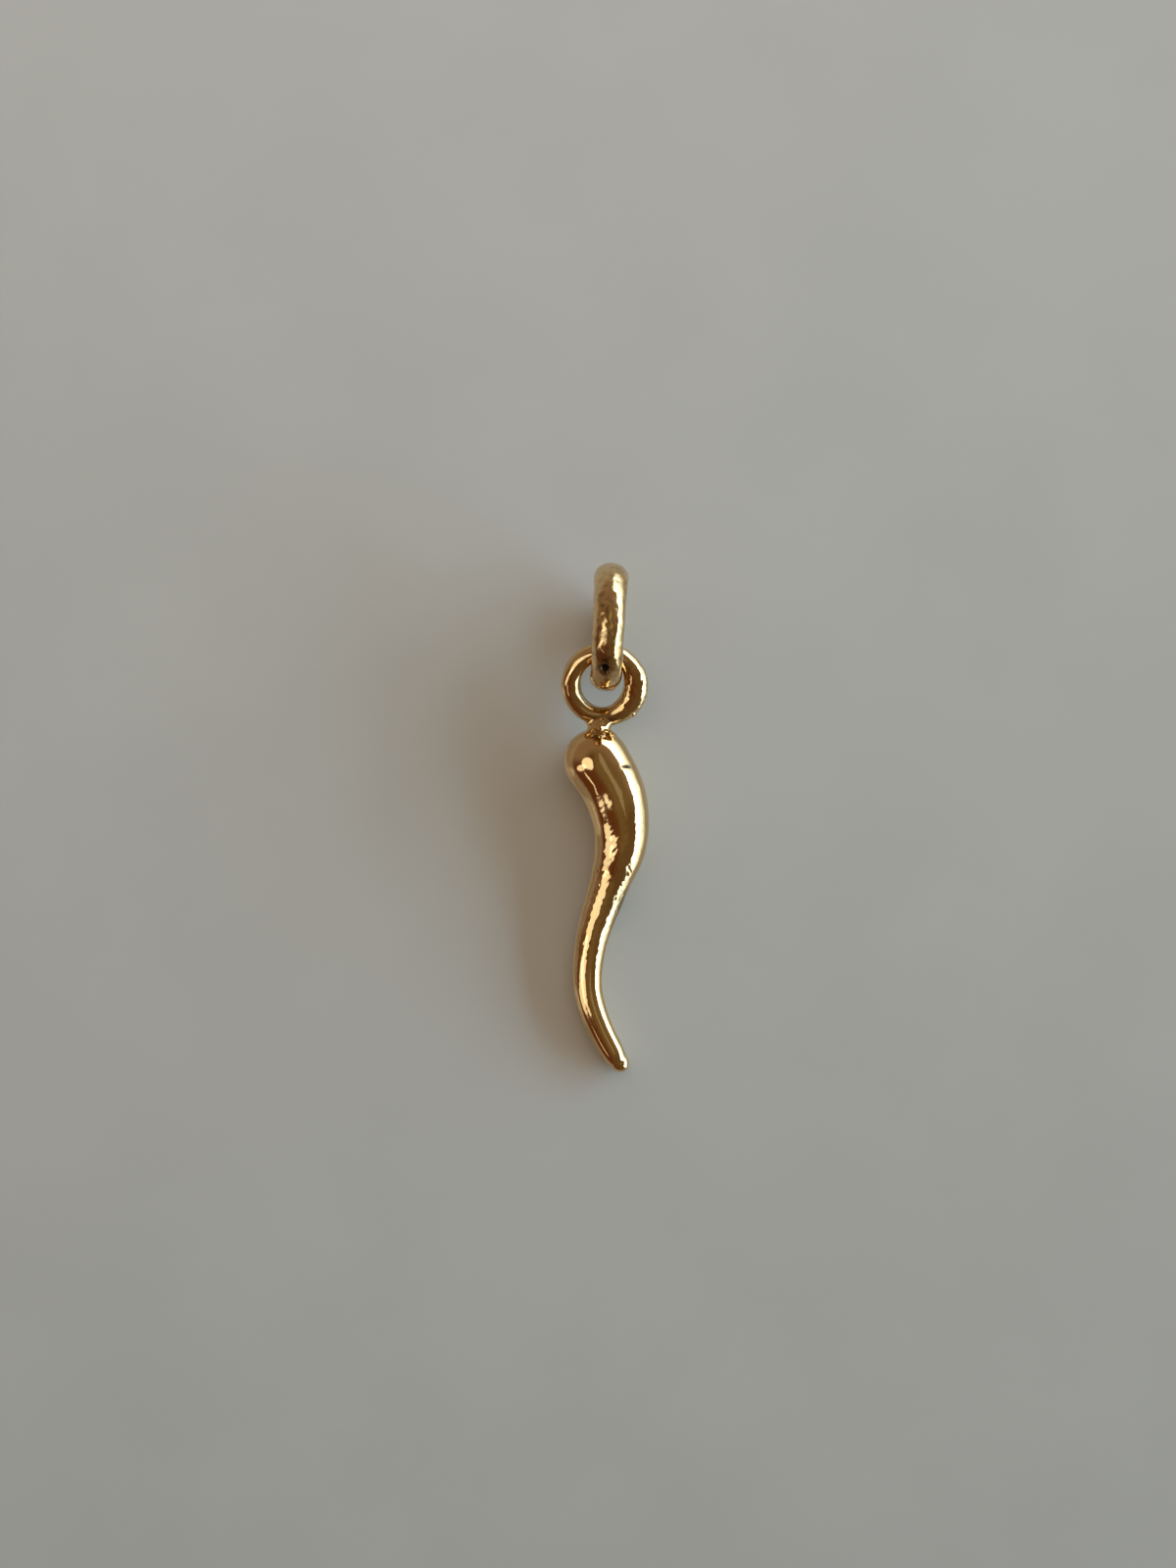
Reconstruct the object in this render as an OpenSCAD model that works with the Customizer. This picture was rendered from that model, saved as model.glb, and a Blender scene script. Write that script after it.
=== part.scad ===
// Horn charm (cornicello) in yellow gold, lying on its side on a flat surface.
// A tapering S-shaped horn carries an upright eye on its head, and a thick round
// bail ring stands on its edge through that eye.
// Millimetres. +X is to the right, +Y runs from the tip to the bail, +Z is up.

/* [Horn] */
// Length of the horn from the top of its head to the end of its tip
horn_length = 16.96; // [15:0.1:20]
// Thickness of the horn at its head, where it is thickest
horn_thickness = 3.2; // [2.8:0.1:3.6]
// Sideways distance between the two bends of the S
horn_sway = 1.66; // [1.2:0.02:2.2]
// Height of the air under the horn's waist as it lies
horn_arch = 0.12; // [0:0.02:0.3]

/* [Eye] */
// Width of the eye between the middles of its wire
eye_width = 3.16; // [3.14:0.02:3.6]
// Height of the eye between the middles of its wire
eye_height = 3.32; // [3.2:0.02:3.8]
// Thickness of the eye's wire
eye_wire = 0.96; // [0.8:0.02:1]
// Tilt of the eye, whose far end is lifted by the bail ring
eye_tilt = 22; // [16:1:28]
// Offset of the eye to the right of the middle of the head
eye_side = 0.34; // [0:0.02:0.5]
// Distance between the head and the eye's outer edge
neck_length = 0.14; // [0.1:0.02:0.4]
// Width of the soldered neck at its narrowest
neck_width = 1.1; // [0.8:0.05:1.3]
// Place round the eye of the lump of solder on it, with 0 at its right
lump_turn = -46; // [-60:1:-35]
// Distance of the lump's outer end from the middle of the eye
lump_reach = 2.12; // [1.9:0.02:2.3]
// Thickness of the lump's outer end
lump_size = 0.34; // [0.2:0.02:0.5]

/* [Bail ring] */
// Outer diameter of the bail ring
bail_diameter = 6.22; // [6:0.02:7]
// Thickness of its wire across the ring
bail_wire = 1.42; // [1.2:0.02:1.44]
// Thickness of its wire along the hole
bail_width = 1.54; // [1.3:0.02:1.56]
// Turn of the ring away from the line of the horn
bail_yaw = 3.2; // [2.4:0.2:4]
// Offset of the ring to the right of the middle of the eye
bail_side = 0.24; // [0.16:0.01:0.26]
// Gap between the bail ring and the eye's wire
link_gap = 0.08; // [0.06:0.01:0.2]

/* [Hidden] */
GOLD = "#c8a05a";

// Sections of the horn, from the middle of its head to the middle of its tip.
// DOWN is the share of the way down, SIDE the share of the sway from the left
// bend, THICK the share of the thickness, ARCH the share of the arch's height.
DOWN = 0;
SIDE = 1;
THICK = 2;
ARCH = 3;
HORN = [
    [0.00, 0.265, 1.000, 0.30],
    [0.07, 0.655, 0.956, 0.15],
    [0.14, 0.890, 0.924, 0.00],
    [0.22, 1.000, 0.848, 0.00],
    [0.30, 0.944, 0.772, 0.20],
    [0.38, 0.728, 0.640, 0.70],
    [0.47, 0.456, 0.567, 1.00],
    [0.58, 0.150, 0.500, 0.60],
    [0.69, 0.000, 0.453, 0.05],
    [0.78, 0.055, 0.423, 0.00],
    [0.88, 0.355, 0.393, 0.20],
    [0.96, 0.735, 0.356, 0.45],
    [1.00, 0.970, 0.284, 0.60]
];

// Width of the eye's wire round the ring as a share of eye_wire, at every turn
// of EYE_TURN from its right side through its far end. The right is left wide.
EYE_TURN = 45;
EYE_WIRE_SHARES = [1.24, 0.94, 0.88, 0.96, 1.00, 0.98, 0.94, 1.20];

// Width of the bail's wire round the ring as a share of bail_width, at every turn
// of BAIL_TURN from the end inside the eye, over the top, through the far end.
BAIL_TURN = 90;
BAIL_WIDTH_SHARES = [0.99, 0.97, 1.08, 1.00];

// Sections of the neck from the middle of the eye's wire into the head.
// ALONG is the share of the way, WIDE and DEEP are shares of neck_width.
// NECK_LEFT is its offset from the eye's middle, NECK_ROOT the share of the
// head's radius at which it ends, and NECK_SLICE the share of a slice's length.
NECK_LEFT = 0.1;
NECK_ROOT = 0.62;
NECK_SLICE = 0.12;
ALONG = 0;
WIDE = 1;
DEEP = 2;
NECK = [
    [0.00, 1.50, 0.70],
    [0.22, 1.42, 0.76],
    [0.34, 1.20, 0.80],
    [0.44, 1.05, 0.82],
    [0.54, 1.00, 0.84],
    [0.64, 1.04, 0.90],
    [0.74, 1.22, 1.05],
    [0.86, 1.52, 1.35],
    [1.00, 1.80, 1.70]
];

// Root of the solder lump inside the wire, as a share of eye_wire
LUMP_ROOT = 0.8;
// Small step along the horn's table, for its direction
NUDGE = 0.01;

HORN_STEPS = 48;
HORN_SIDES = 28;
CAP_STEPS = 6;
EYE_STEPS = 48;
EYE_SIDES = 16;
BAIL_STEPS = 60;
BAIL_SIDES = 20;
NECK_FN = 20;

head_radius = horn_thickness / 2;
tip_radius = head_radius * HORN[len(HORN) - 1][THICK];
horn_span = horn_length - head_radius - tip_radius;

function unit(v) = v / norm(v);
function column(points, axis) = [for (p = points) p[axis]];

// Smooth curve from b to c, with a and d as the values before and after them
function blend(a, b, c, d, t) =
    b + 0.5 * t * (c - a + t * (2 * a - 5 * b + 4 * c - d + t * (3 * (b - c) + d - a)));

// Value at place u of a closed list, whose first value follows its last
function round_value(list, u) =
    let (n = len(list), i = floor(u))
    blend(list[(i + n - 1) % n], list[i % n], list[(i + 1) % n], list[(i + 2) % n], u - i);

// The row beyond row a, on the side away from row b: the line runs straight
// on, and the thickness is level at a
function row_beyond(a, b) = [2 * a[DOWN] - b[DOWN], 2 * a[SIDE] - b[SIDE], b[THICK], b[ARCH]];

// Row of the horn's table at place u, where whole numbers are its own rows
function horn_row(u) =
    let (last = len(HORN) - 1, i = max(0, min(last - 1, floor(u))))
    blend(i > 0 ? HORN[i - 1] : row_beyond(HORN[0], HORN[1]), HORN[i], HORN[i + 1],
          i + 2 > last ? row_beyond(HORN[last], HORN[last - 1]) : HORN[i + 2], u - i);

function horn_radius(u) = head_radius * horn_row(u)[THICK];

// Middle of the horn at place u, measured from the middle of its head
function horn_middle(u) =
    let (row = horn_row(u))
    [(row[SIDE] - HORN[0][SIDE]) * horn_sway, -row[DOWN] * horn_span,
     head_radius * row[THICK] + row[ARCH] * horn_arch];

function horn_heading(u) = unit(horn_middle(u + NUDGE) - horn_middle(u - NUDGE));

// Points of an oval of half widths a and b about middle
function oval(middle, across, upward, a, b, sides) =
    [for (k = [0 : sides - 1]) middle + a * cos(360 * k / sides) * across
                                      + b * sin(360 * k / sides) * upward];

// Section of the horn at place u, moved on by ahead and of the given radius
function horn_section(u, ahead, radius) =
    let (heading = horn_heading(u),
         across = unit(cross([0, 0, 1], heading)),
         upward = cross(heading, across))
    oval(horn_middle(u) + ahead * heading, across, upward, radius, radius, HORN_SIDES);

last_row = len(HORN) - 1;
horn_raw = concat(
    [horn_middle(0) - head_radius * horn_heading(0)],
    [for (i = [1 : CAP_STEPS - 1]) let (turn = 90 * i / CAP_STEPS)
        each horn_section(0, -head_radius * cos(turn), head_radius * sin(turn))],
    [for (i = [0 : HORN_STEPS]) let (u = last_row * i / HORN_STEPS)
        each horn_section(u, 0, horn_radius(u))],
    [for (i = [1 : CAP_STEPS - 1]) let (turn = 90 * i / CAP_STEPS)
        each horn_section(last_row, tip_radius * sin(turn), tip_radius * cos(turn))],
    [horn_middle(last_row) + tip_radius * horn_heading(last_row)]);
horn_sections = HORN_STEPS + 2 * CAP_STEPS - 1;
horn_drop = min(column(horn_raw, 2));
head_middle = horn_middle(0) - [0, 0, horn_drop];
horn_points = [for (p = horn_raw) p - [0, 0, horn_drop]];

// The eye is a ring in a plane that rises away from the horn
eye_far = [0, cos(eye_tilt), sin(eye_tilt)];
eye_normal = [0, -sin(eye_tilt), cos(eye_tilt)];
eye_foot_radius = eye_wire / 2 * EYE_WIRE_SHARES[270 / EYE_TURN];
eye_top_radius = eye_wire / 2 * EYE_WIRE_SHARES[90 / EYE_TURN];
eye_foot = head_middle + [eye_side, head_radius + neck_length + eye_foot_radius, 0];
eye_middle = eye_foot + eye_height / 2 * eye_far;
eye_top = eye_foot + eye_height * eye_far;

function eye_section(turn) =
    let (place = [eye_width / 2 * cos(turn), eye_height / 2 * sin(turn)],
         outward = unit([eye_height * cos(turn), eye_width * sin(turn)]),
         width = eye_wire / 2 * round_value(EYE_WIRE_SHARES, turn / EYE_TURN))
    oval(eye_middle + [place[0], 0, 0] + place[1] * eye_far,
         [outward[0], 0, 0] + outward[1] * eye_far, -eye_normal, width, eye_wire / 2, EYE_SIDES);
eye_points = [for (i = [0 : EYE_STEPS - 1]) each eye_section(360 * i / EYE_STEPS)];

// The bail ring stands on its edge, with its near end drawn up inside the eye
bail_radius = bail_diameter / 2;
bail_hole_radius = bail_radius - bail_wire;
bail_reach = bail_hole_radius - eye_top_radius - link_gap;
bail_rise = bail_radius - eye_top[2];
bail_middle = [eye_middle[0] + bail_side,
               eye_top[1] + sqrt(bail_reach * bail_reach - bail_rise * bail_rise),
               bail_radius];
bail_axis = [cos(bail_yaw), -sin(bail_yaw), 0];
bail_far = [sin(bail_yaw), cos(bail_yaw), 0];

function bail_section(turn) =
    let (outward = -cos(turn) * bail_far + [0, 0, sin(turn)],
         width = bail_width / 2 * round_value(BAIL_WIDTH_SHARES, turn / BAIL_TURN))
    oval(bail_middle + (bail_radius - bail_wire / 2) * outward, outward, bail_axis,
         bail_wire / 2, width, BAIL_SIDES);
bail_points = [for (i = [0 : BAIL_STEPS - 1]) each bail_section(360 * i / BAIL_STEPS)];

// The charm is centred on its box
all_points = concat(horn_points, eye_points, bail_points);
place = [for (axis = [0, 1]) -(min(column(all_points, axis)) + max(column(all_points, axis))) / 2];

// Two triangles for each cell between section i and section j of a tube
function band(i, j, sides, first) =
    [for (k = [0 : sides - 1])
        let (a = first + i * sides + k, b = first + i * sides + (k + 1) % sides,
             c = first + j * sides + (k + 1) % sides, d = first + j * sides + k)
        each [[a, c, b], [a, d, c]]];

// Closed tube between two poles, which are the first and the last point
module pointed_tube(points, sections, sides) {
    last = len(points) - 1;
    start = last - sides;
    polyhedron(points, concat(
        [for (k = [0 : sides - 1]) [0, 1 + k, 1 + (k + 1) % sides]],
        [for (i = [0 : sections - 2]) each band(i, i + 1, sides, 1)],
        [for (k = [0 : sides - 1]) [last, start + (k + 1) % sides, start + k]]));
}

// Closed tube that runs round into itself
module ring_tube(points, sections, sides) {
    polyhedron(points, [for (i = [0 : sections - 1]) each band(i, (i + 1) % sections, sides, 0)]);
}

// The neck, lofted through the ovals of its table
module neck() {
    start = eye_foot - [NECK_LEFT, 0, 0];
    finish = head_middle + [0, NECK_ROOT * head_radius, 0];
    for (i = [0 : len(NECK) - 2]) {
        hull() {
            for (row = [NECK[i], NECK[i + 1]]) {
                translate(start + row[ALONG] * (finish - start))
                    scale([row[WIDE], NECK_SLICE, row[DEEP]])
                    sphere(d = neck_width, $fn = NECK_FN);
            }
        }
    }
}

// Lump of solder that stands out of the eye's wire at its lower right
module solder_lump() {
    outward = [cos(lump_turn), 0, 0] + sin(lump_turn) * eye_far;
    hull() {
        translate(eye_middle + eye_height / 2 * outward) sphere(d = LUMP_ROOT * eye_wire, $fn = NECK_FN);
        translate(eye_middle + lump_reach * outward) sphere(d = lump_size, $fn = NECK_FN);
    }
}

module horn_with_eye() {
    color(GOLD)
    translate(place) {
        pointed_tube(horn_points, horn_sections, HORN_SIDES);
        ring_tube(eye_points, EYE_STEPS, EYE_SIDES);
        neck();
        solder_lump();
    }
}

module bail_ring() {
    color(GOLD)
    translate(place)
    ring_tube(bail_points, BAIL_STEPS, BAIL_SIDES);
}

horn_with_eye();
bail_ring();
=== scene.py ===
"""Horn charm in yellow gold: the finish of its horn, eye, solder and bail ring, on a plain pale floor.

Lengths are in metres. +X is to the right, +Y runs from the tip to the bail, +Z is up.
The sizes below repeat the driving sizes of the solid model, and the frame says where they lie.
"""
import math

import bpy
import numpy as np
from mathutils import Matrix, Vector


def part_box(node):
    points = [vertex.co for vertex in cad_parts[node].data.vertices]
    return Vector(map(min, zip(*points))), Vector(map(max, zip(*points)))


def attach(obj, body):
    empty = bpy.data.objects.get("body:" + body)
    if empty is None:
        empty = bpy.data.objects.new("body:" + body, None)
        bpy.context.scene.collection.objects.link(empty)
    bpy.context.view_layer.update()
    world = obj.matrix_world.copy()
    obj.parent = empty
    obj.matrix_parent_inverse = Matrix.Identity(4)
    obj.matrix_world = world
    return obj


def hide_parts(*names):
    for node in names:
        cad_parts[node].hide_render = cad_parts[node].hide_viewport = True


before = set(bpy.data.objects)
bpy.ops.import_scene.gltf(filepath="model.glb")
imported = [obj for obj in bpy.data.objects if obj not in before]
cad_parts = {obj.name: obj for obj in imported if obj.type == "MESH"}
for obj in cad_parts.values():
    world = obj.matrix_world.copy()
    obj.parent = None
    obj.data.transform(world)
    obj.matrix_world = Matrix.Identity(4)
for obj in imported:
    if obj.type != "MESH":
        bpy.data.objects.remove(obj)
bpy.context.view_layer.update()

bl_info = {
    "name": "Horn Charm",
    "version": (1, 0, 0),
    "blender": (4, 5, 0),
    "location": "View3D > Sidebar > Horn Charm",
    "description": "Builds a small gold horn charm with its eye, solder and bail ring",
    "category": "Object",
}

MM = 0.001
HORN_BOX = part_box("horn_with_eye")

# Sections of the horn, from the middle of its head to the middle of its tip: share of the way
# down, share of the sway from the left bend, share of the thickness, share of the arch's height
HORN_TABLE = np.array([
    [0.00, 0.265, 1.000, 0.30],
    [0.07, 0.655, 0.956, 0.15],
    [0.14, 0.890, 0.924, 0.00],
    [0.22, 1.000, 0.848, 0.00],
    [0.30, 0.944, 0.772, 0.20],
    [0.38, 0.728, 0.640, 0.70],
    [0.47, 0.456, 0.567, 1.00],
    [0.58, 0.150, 0.500, 0.60],
    [0.69, 0.000, 0.453, 0.05],
    [0.78, 0.055, 0.423, 0.00],
    [0.88, 0.355, 0.393, 0.20],
    [0.96, 0.735, 0.356, 0.45],
    [1.00, 0.970, 0.284, 0.60],
])
DOWN, SIDE, THICK, ARCH = range(4)
TIP_LEAN = 0.24

# Width of the eye's wire as a share of its thickness, every eighth of a turn from the right side
EYE_SHARES = np.array([1.24, 0.94, 0.88, 0.96, 1.00, 0.98, 0.94, 1.20])
EYE_FAR, EYE_FOOT = 2, 6

# Width of the bail's wire as a share of its own, every quarter turn from the end inside the eye
BAIL_SHARES = np.array([0.99, 0.97, 1.08, 1.00])

# Sections of the neck from the eye's wire into the head: share of the way, and half widths
# across and upwards as shares of half the neck's width
NECK_TABLE = np.array([
    [0.00, 1.50, 0.85],
    [0.22, 1.42, 0.95],
    [0.34, 1.20, 1.02],
    [0.44, 1.05, 1.10],
    [0.52, 1.05, 1.19],
    [0.60, 1.22, 1.32],
    [0.67, 1.49, 1.48],
    [0.74, 1.67, 1.64],
    [0.82, 1.84, 1.83],
    [1.00, 2.00, 2.00],
])
NECK_LEFT = 0.1 * MM
NECK_ROOT = 0.62

# Marks on the bail ring: x, y, z, radius and depth in millimetres, share of darkening, and how
# steep the walls are. Rows noted below paint reflection and shade; the rest are smudges, dents
# and nicks
BAIL_MARKS = np.array([
    # Painted reflection: a deep pit filled black, with a dark rim, stands for a dark reflection
    [-0.03, 7.24, 5.38, 0.21, 0.220, 1.00, 6],
    [-0.03, 7.24, 5.38, 0.28, 0.000, 1.00, 8],
    [-0.05, 7.28, 5.38, 0.42, 0.012, 0.50, 5],
    # Painted shade on the near half, where the ring mirrors the bright floor
    [0.02, 6.90, 5.00, 0.66, 0.000, 0.25, 2],
    # Painted reflection: a dark band above the pit
    [-0.08, 7.62, 5.66, 0.30, 0.015, 0.60, 2],
    [-0.25, 10.68, 5.76, 0.16, 0.010, 0.45, 2],
    [-0.17, 10.17, 6.02, 0.13, 0.014, 0.60, 2],
    [-0.16, 9.70, 6.13, 0.12, 0.016, 0.60, 2],
    [-0.53, 9.53, 5.78, 0.09, 0.020, 0.00, 2],
    # Painted reflection: two dark patches on the near half, where the ring mirrors dark surroundings
    [-0.04, 8.70, 6.13, 0.26, 0.010, 0.35, 2],
    [-0.26, 7.90, 5.77, 0.26, 0.010, 0.35, 2],
    [0.59, 11.41, 5.34, 0.09, 0.012, 0.35, 2],
    [0.63, 10.72, 5.77, 0.08, 0.011, 0.35, 2],
    [0.53, 10.07, 6.05, 0.10, 0.013, 0.35, 2],
    [0.49, 9.39, 6.15, 0.08, 0.011, 0.35, 2],
    [0.43, 8.49, 6.03, 0.12, 0.013, 0.35, 2],
    [0.67, 7.74, 5.43, 0.12, 0.017, 0.35, 2],
])

# Beads of solder: name, middle and half sizes in millimetres
BEADS = [
    ("low", (-0.22, 4.06, 2.68), (0.12, 0.10, 0.08)),
    ("side", (1.28, 5.33, 1.73), (0.31, 0.31, 0.36)),
]

# Soft places on the horn, the eye and the neck: middle, and size on each axis, in millimetres.
# The waist is measured from the middle of the head, the seam and the inner side from the middle
# of the eye, and the root from its foot
WAIST = ((0, -6.3, 0), (9, 4.2, 9))
# A shallow groove where the neck meets the head; its darkening is painted shade
CREASE = ((-0.42, 4.02, 2.75), (0.13, 0.28, 0.50))
# A shallow dent across the head; its darkening is a painted reflection of a dark window bar across the
# white band
NICK_AND_DARK_BAR = ((1.06, 2.62, 2.75), (0.36, 0.11, 0.45))
# A rough patch on the waist's right side: its unevenness is real, its darkening is painted shade that
# dims the window's reflection
ROUGH_AND_SHADED = ((0.72, -4.10, 1.10), (0.50, 1.00, 0.90))
EYE_SEAM = ((1.6, -0.4, 0), (0.9, 1.4, 2))
# Where the eye's wire meets the neck; its darkening is painted shade
EYE_ROOT = ((0, -0.25, 0.2), (0.9, 0.3, 0.6))
# The eye's inner side next to the bail; its darkening is painted shade
EYE_INNER = ((-1.1, -0.8, 0), (1.2, 1.3, 2))
# The corner where the neck meets the head; its darkening is painted shade
NECK_CORNER = ((-0.42, 4.25, 2.45), (0.15, 0.25, 0.30))

# Middle and width, in millimetres from the eye's middle, of the round band that is its inner side
INNER_BAND = (1.2, 0.25)

# Depth of the crease and the nick
MARK_DEPTH = 0.02 * MM

# Share of darkening in the middle of each soft place, all of it painted: shade in the crease, at
# the eye's root and inner side and in the neck's corner, a reflection of a dark window bar across
# the dent on the head, and shade over the window's reflection on the rough patch. Above 1, more
# than the middle is full of it
CREASE_SHADE, DARK_BAR_REFLECTION, ROUGH_SHADE = 0.6, 1.2, 0.6
ROOT_SHADE, INNER_SHADE, CORNER_SHADE = 0.8, 0.5, 0.4

# Unevenness of each piece: width of its waves in millimetres, and the seed of its draws
SWELL, RIPPLE_FINE, RIPPLE_BROAD, WORN_SKIN = (2.6, 3), (0.23, 5), (0.70, 8), (0.30, 41)
EYE_BROAD, EYE_FINE = (0.75, 11), (0.28, 13)
NECK_SKIN, BEAD_SKIN = (0.4, 17), (0.35, 19)
BAIL_BROAD, BAIL_FINE, MARK_EDGE = (1.3, 23), (0.42, 29), (0.30, 31)

# Heights of the unevenness of the worn place, the neck and the beads
WORN_HEIGHT, NECK_HEIGHT, BEAD_HEIGHT = 0.008 * MM, 0.008 * MM, 0.012 * MM

# Shares of the fine and the broad ripple on the horn's waist. On the eye: share of the broad one
# away from its seam, and of the fine one at the seam
RIPPLE_SHARES = (0.4, 0.7)
EYE_PLAIN, EYE_SEAM_FINE = 0.5, 0.6

# How far the distances to a mark are stretched
MARK_STRETCH = 0.1

# Height below which the unevenness fades, so that nothing sinks into the floor
CALM_BELOW = 0.4 * MM

# Turns and stretches the fine unevenness, whose marks lie aslant across the horn
SLANT = np.array([[1.0, 0.5, 0.0], [-0.6, 0.6, 0.0], [0.0, 0.0, 0.7]])

# Number of plane waves in each unevenness, and the least and the greatest length of their
# directions over 2 pi
WAVES, WAVE_LENGTHS = 28, (0.6, 1.5)

# How far along its table, in rows, the horn's sections are smoothed and its heading is measured
SOFTEN, NUDGE = 0.3, 0.01

# Steps along and around each piece, and around and out across the floor
HORN_STEPS, HORN_SIDES, CAP_STEPS = 540, 160, 24
EYE_STEPS, EYE_SIDES = 300, 96
BAIL_STEPS, BAIL_SIDES = 560, 150
NECK_STEPS, NECK_SIDES = 60, 80
BEAD_STEPS, BEAD_SIDES = 24, 36
FLOOR_RINGS, FLOOR_SIDES = 24, 96

# Layers of detail in a noise texture
PLAIN, FINE = 2.0, 3.0

# Gold: bounds of the noise between which its redder patches and the spots of its film fade in,
# size of the spots and of the ragged edge of the darkening in millimetres, least share of the
# darkening at that edge, and added roughness of full darkening. The darkening is real stains on
# some marks and painted shade and reflection on others
PATCH_FADE, SPOT_FADE, SPOT_SIZE = (0.38, 0.66), (0.48, 0.68), 0.34
RAGGED_SIZE, RAGGED_LEAST, DULL = 0.12, 0.6, 0.25

# Pin holes: how many in a millimetre, and bounds between which a hole closes. Size in millimetres
# and bounds of the patches that have them
HOLES, HOLE_FADE = 3.2, (0.03, 0.11)
HOLE_PATCH, HOLE_PATCH_FADE = 0.9, (0.55, 0.65)

# Polishing lines: width in millimetres, length over width, and size of the smudges
LINE_WIDTH, LINE_STRETCH, SMUDGE_SIZE = 0.035, 14, 0.8

# Floor: radius in metres and depth below the charm, sizes of its tones and smudges in millimetres
# and the bounds of both, brightness of the darker tone as a share, and added roughness of smudges
FLOOR_RADIUS, FLOOR_DROP = 0.6, 0.002 * MM
FLOOR_TONES, FLOOR_SMUDGES, FLOOR_FADE = 9.0, 3.0, (0.3, 0.7)
FLOOR_DIM, FLOOR_ROUGHER = 0.97, 0.02

# Index of refraction of the floor's gloss, and what the camera sees of that gloss: its level, and
# how much rougher it is
FLOOR_IOR, MATT_LEVEL, MATT_ROUGHER = 1.75, 0.08, 0.35

# Lights: name, direction round from +X and rise above the floor in degrees, half the width and
# half the height in degrees as the charm sees them, setting of the brightness and share of it,
# tint, shape, whether it lights only the floor, and distance in metres
COOL, WARM = (0.62, 0.82, 1.0), (0.96, 1.0, 0.94)
LIGHTS = [
    ("sheen_near", -13, 12.7, 27, 12.5, "sheen", 1.0, COOL, "RECTANGLE", False, 0.4),
    ("sheen_far", 45, 12.7, 31, 12.5, "sheen", 1.0, COOL, "RECTANGLE", False, 0.4),
    ("wall", 189, 56, 18.0, 20.5, "wall", 1.0, WARM, "ELLIPSE", False, 0.4),
    ("wall_low", 202, 30, 9, 20, "wall", 0.9, WARM, "ELLIPSE", False, 0.4),
    ("wall_edge", 226, 31, 8, 3, "wall", 0.8, WARM, "ELLIPSE", False, 0.4),
    ("high_edge", 15, 72, 25, 7, "wall", 0.12, WARM, "ELLIPSE", False, 0.4),
    ("key", 8, 14, 38, 13.8, "key", 1.0, (0.55, 0.85, 1.0), "RECTANGLE", True, 1.0),
    ("fill", 90, 42, 50, 50, "fill", 1.0, (1.0, 0.91, 0.80), "RECTANGLE", True, 0.09),
]

# Colours of the room as the gold mirrors it: low down towards -Y, low and high towards +Y, and
# overhead. Then its colour as the camera sees it, and as it lights the floor
SOUTH_LEFT, SOUTH_RIGHT = (0.115, 0.040, 0.014, 1), (0.130, 0.085, 0.043, 1)
FAR_LOW, FAR_HIGH = (0.25, 0.18, 0.125, 1), (0.20, 0.145, 0.090, 1)
ABOVE_LEFT, ABOVE_RIGHT = (0.125, 0.055, 0.018, 1), (0.175, 0.125, 0.058, 1)
ROOM_SEEN, ROOM_ON_FLOOR = (0.42, 0.42, 0.41, 1), (0.17, 0.108, 0.040, 1)

# Bounds of x, y or z in the direction looked at between which one colour passes into the next,
# and how much sooner that overhead ends for each step of y
SOUTH_FADE, FAR_FADE, SIDE_FADE = (-0.45, 0.25), (0.60, 0.80), (-0.25, 0.30)
ABOVE_FADE, OVERHEAD_FADE, OFF_LINE = (-0.30, 0.03), (0.55, 0.85), 0.35

# Camera: place over the floor, width of its sensor in millimetres, and how near and how far it
# sees in metres
CAMERA_X, CAMERA_Y, SENSOR = -0.838 * MM, 1.782 * MM, 36
NEAREST, FARTHEST = 1 * MM, 2

UP = np.array([0.0, 0.0, 1.0])


def length(name, default, description):
    return bpy.props.FloatProperty(name=name, default=default, description=description,
                                   min=0, precision=5, unit="LENGTH", subtype="DISTANCE")


def share(name, default, description):
    return bpy.props.FloatProperty(name=name, default=default, description=description,
                                   min=0, max=1, subtype="FACTOR")


def number(name, default, description):
    return bpy.props.FloatProperty(name=name, default=default, description=description, min=0)


def angle(name, default, description):
    return bpy.props.FloatProperty(name=name, default=default, description=description,
                                   subtype="ANGLE", unit="ROTATION")


def colour(name, default, description):
    return bpy.props.FloatVectorProperty(name=name, default=default, description=description,
                                         size=3, min=0, max=1, subtype="COLOR")


class HornSizes(bpy.types.PropertyGroup):
    """Sizes of the horn."""
    long: length("Length", 16.96 * MM, "From the top of the head to the end of the tip")
    thick: length("Thickness", 3.2 * MM, "At the head, where the horn is thickest")
    sway: length("Sway", 1.66 * MM, "Sideways distance between the two bends of the S")
    arch: length("Arch", 0.12 * MM, "Air under the waist as the horn lies")
    swell: length("Swell", 0.006 * MM, "Height of the broad unevenness that polishing left")
    ripple: length("Ripple", 0.006 * MM, "Height of the fine unevenness on the waist")


class EyeSizes(bpy.types.PropertyGroup):
    """Sizes of the eye and of its soldered neck."""
    wide: length("Width", 3.16 * MM, "Between the middles of the wire, across")
    high: length("Height", 3.32 * MM, "Between the middles of the wire, along the charm")
    wire: length("Wire", 0.96 * MM, "Thickness of the eye's wire")
    tilt: angle("Tilt", math.radians(22), "Slope of the eye, whose far end the bail lifts")
    side: length("Offset", 0.34 * MM, "To the right of the middle of the head")
    neck: length("Neck", 0.14 * MM, "Distance between the head and the eye")
    neck_wide: length("Neck Width", 1.1 * MM, "Width of the neck at its narrowest")
    ripple: length("Ripple", 0.006 * MM, "Height of the uneven skin of the wire")


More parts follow.
